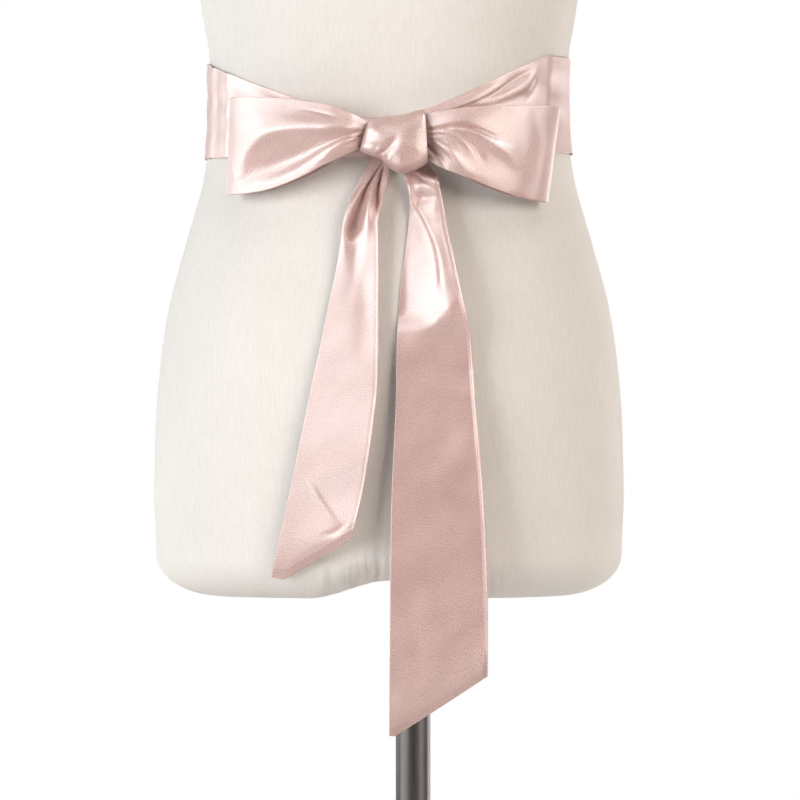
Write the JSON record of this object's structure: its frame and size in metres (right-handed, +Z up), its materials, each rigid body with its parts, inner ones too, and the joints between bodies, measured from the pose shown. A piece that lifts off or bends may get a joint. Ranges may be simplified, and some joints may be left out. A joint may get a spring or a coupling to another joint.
{
  "type": "satin sash on dress form",
  "caption": "Pink satin sash wound round the waist of a limbless dress form and tied in a bow with long slant-cut tails",
  "frame": {"origin": "centre of the stand's underside, on the pole's axis, at floor level", "axes": "+Z up, -Y is the front, where the bow is; +X is to the right for someone looking at the front"},
  "size_m": [0.3595, 0.34, 1.5123],
  "materials": {
    "satin": "dusty pink satin, doubled, with a soft directional sheen",
    "jersey": "off-white knitted cover, matt",
    "dark_metal": "dark gunmetal, half gloss"
  },
  "bodies": {
    "root": {"sash_waist": "satin", "sash_left_loop": "satin", "sash_right_loop": "satin", "sash_knot": "satin", "sash_left_tail": "satin", "sash_right_tail": "satin", "form_torso": "jersey", "form_neck_cap": "dark_metal", "stand_pole": "dark_metal", "stand_base": "dark_metal"}
  },
  "joints": []
}
